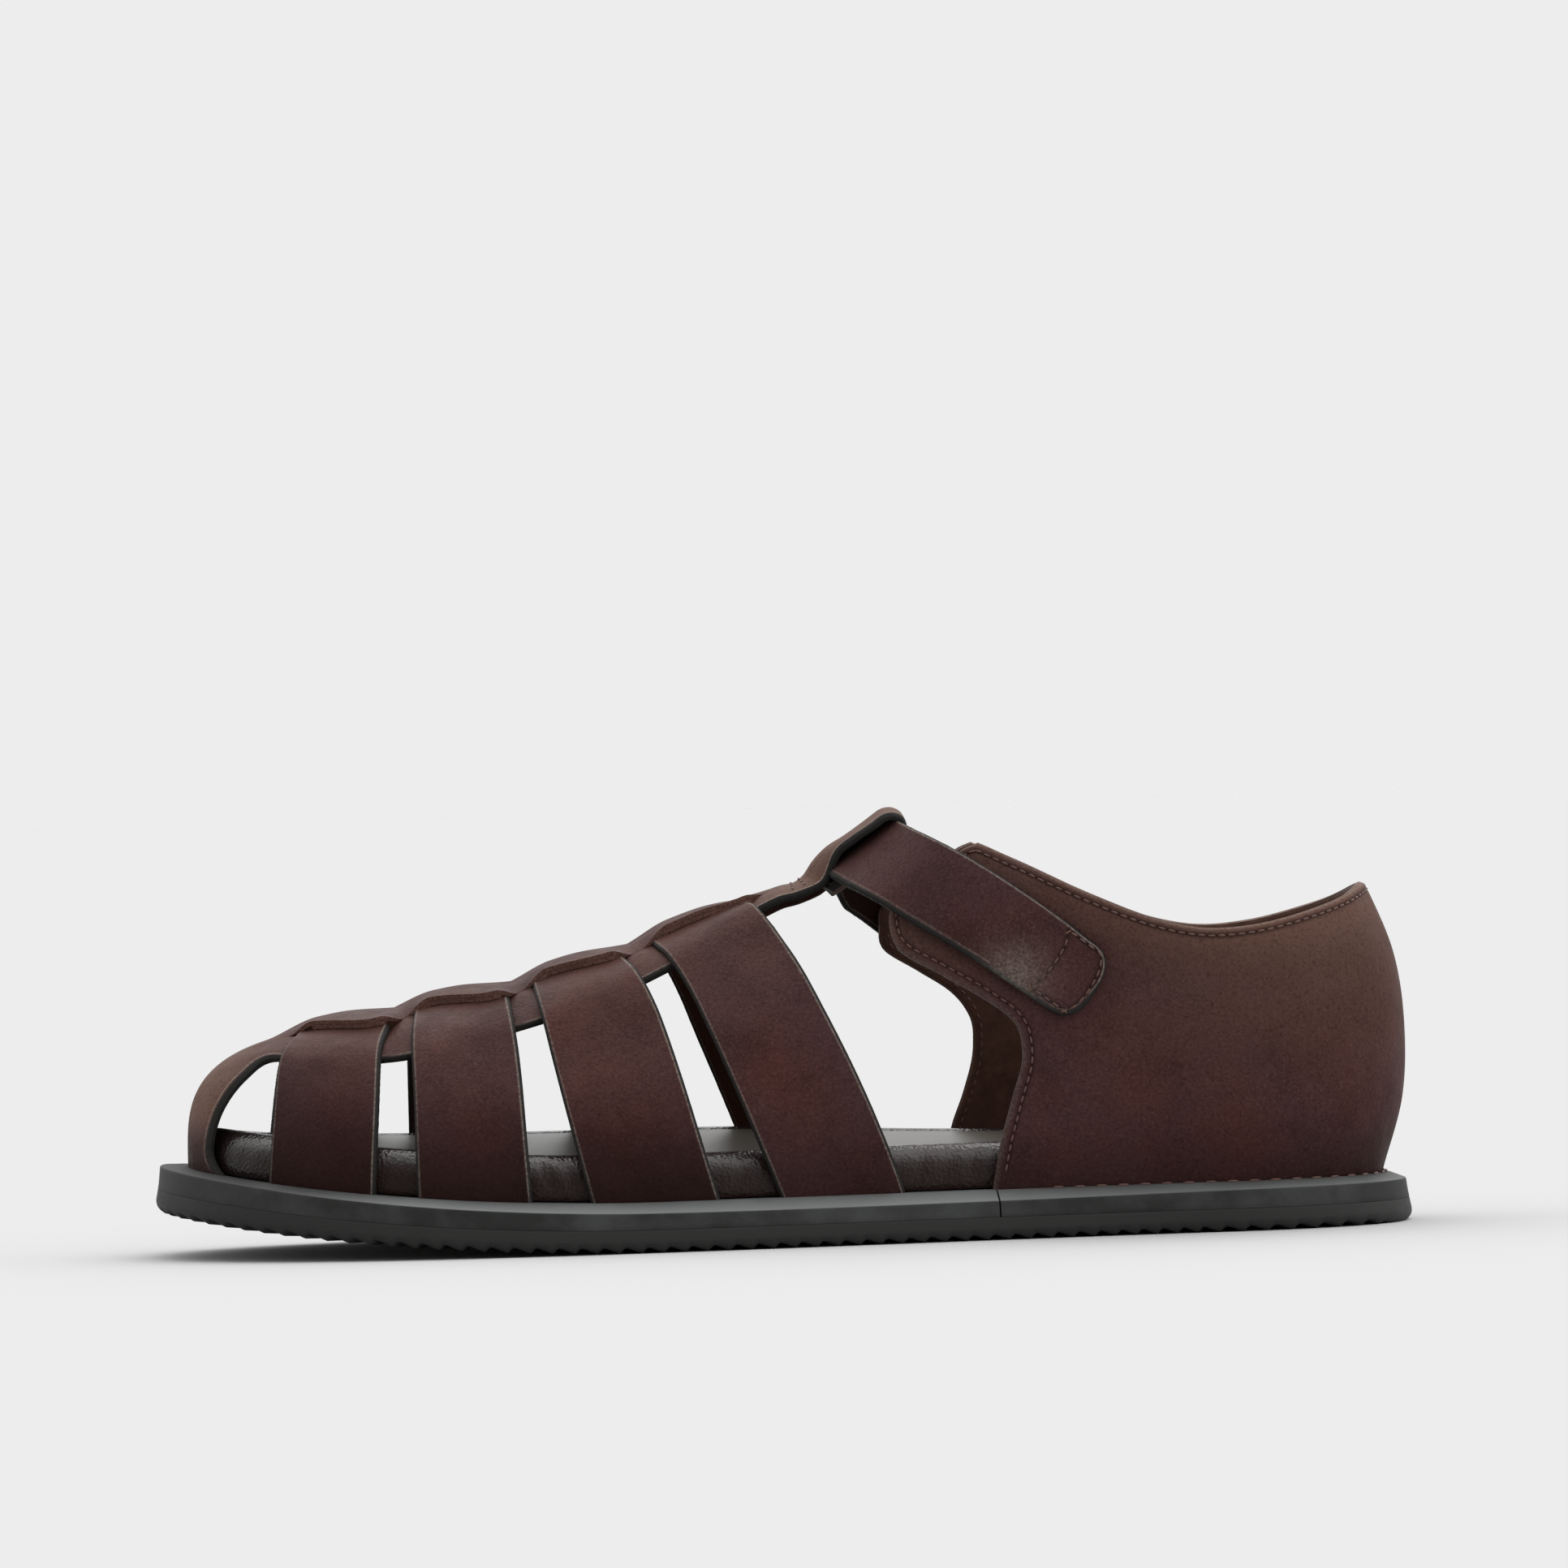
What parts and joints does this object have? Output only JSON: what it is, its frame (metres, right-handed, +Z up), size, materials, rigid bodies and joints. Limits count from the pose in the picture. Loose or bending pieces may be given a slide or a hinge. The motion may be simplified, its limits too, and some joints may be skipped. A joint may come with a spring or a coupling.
{
  "type": "fisherman sandal",
  "caption": "Flat left fisherman sandal: leather strip woven over cross straps, closed heel quarter, ankle strap with hook-and-loop tab, padded footbed, rubber welt and toothed outsole.",
  "frame": {"origin": "on the ground under the middle of the sandal's box", "axes": "+X from the toe to the heel, +Y to the inner side of the foot, +Z up"},
  "size_m": [0.2924, 0.1084, 0.1001],
  "materials": {
    "outsole_rubber": "matte",
    "welt_rubber": "matte",
    "footbed_leather": "satin",
    "upper_leather": "waxed satin"
  },
  "bodies": {
    "root": {"outsole": "outsole_rubber", "welt": "welt_rubber", "footbed": "footbed_leather", "upper_straps": "upper_leather", "heel_quarter": "upper_leather", "ankle_strap": "upper_leather"}
  },
  "joints": []
}
